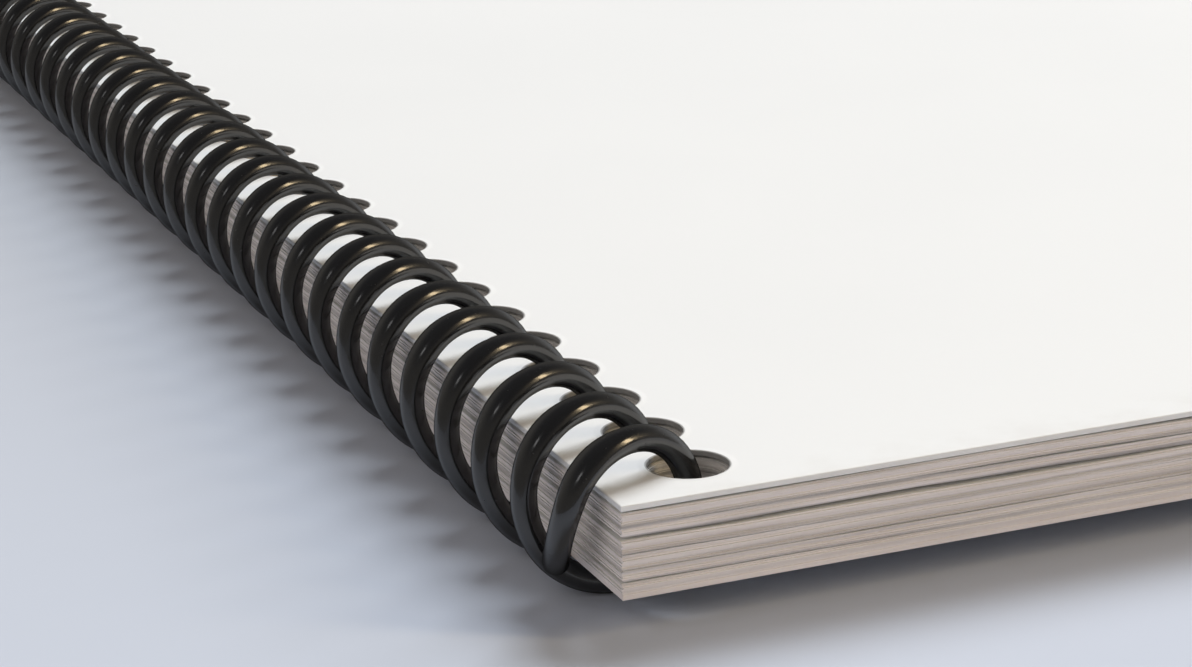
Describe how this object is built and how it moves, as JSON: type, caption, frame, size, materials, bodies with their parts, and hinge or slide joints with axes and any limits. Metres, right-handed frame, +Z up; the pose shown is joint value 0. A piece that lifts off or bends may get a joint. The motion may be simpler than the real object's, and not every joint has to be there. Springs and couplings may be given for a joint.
{
  "type": "coil bound document",
  "caption": "Rectangular document of punched paper sheets between white card covers, held along its long edge by a black plastic spiral coil.",
  "frame": {"origin": "bottom centre of the closed document's bounding box, on the table under the coil", "axes": "+X from the bound edge to the fore edge, +Y along the coil, +Z up through the covers"},
  "size_m": [0.2132, 0.2972, 0.011],
  "materials": {
    "coil": "gloss",
    "cover": "smooth",
    "paper": "matte"
  },
  "bodies": {
    "document": {"coil": "coil", "back_cover": "cover", "sheet_01": "paper", "sheet_02": "paper", "sheet_03": "paper", "sheet_04": "paper", "sheet_05": "paper", "sheet_06": "paper", "sheet_07": "paper", "sheet_08": "paper", "sheet_09": "paper", "sheet_10": "paper", "sheet_11": "paper", "sheet_12": "paper", "sheet_13": "paper", "sheet_14": "paper", "sheet_15": "paper", "sheet_16": "paper", "sheet_17": "paper", "sheet_18": "paper", "sheet_19": "paper", "sheet_20": "paper", "sheet_21": "paper", "sheet_22": "paper", "sheet_23": "paper", "sheet_24": "paper", "sheet_25": "paper", "sheet_26": "paper"},
    "leaves_a": {"sheet_27": "paper", "sheet_28": "paper", "sheet_29": "paper", "sheet_30": "paper"},
    "leaves_b": {"sheet_31": "paper", "sheet_32": "paper", "sheet_33": "paper", "sheet_34": "paper"},
    "leaves_c": {"sheet_35": "paper", "sheet_36": "paper", "sheet_37": "paper", "sheet_38": "paper", "sheet_39": "paper", "sheet_40": "paper"},
    "front_cover": {"front_cover": "cover"}
  },
  "joints": [
    {"name": "leaves_a_turn", "type": "hinge", "parent": "document", "child": "leaves_a", "pos_m": [-0.10353, 0, 0.00536], "axis": [0, -1, 0], "range_deg": [0, 5]},
    {"name": "leaves_b_turn", "type": "hinge", "parent": "leaves_a", "child": "leaves_b", "pos_m": [-0.10353, 0, 0.00585], "axis": [0, -1, 0], "range_deg": [0, 5]},
    {"name": "leaves_c_turn", "type": "hinge", "parent": "leaves_b", "child": "leaves_c", "pos_m": [-0.10353, 0, 0.00632], "axis": [0, -1, 0], "range_deg": [0, 5]},
    {"name": "front_cover_turn", "type": "hinge", "parent": "leaves_c", "child": "front_cover", "pos_m": [-0.10353, 0, 0.00705], "axis": [0, -1, 0], "range_deg": [0, 7]}
  ]
}
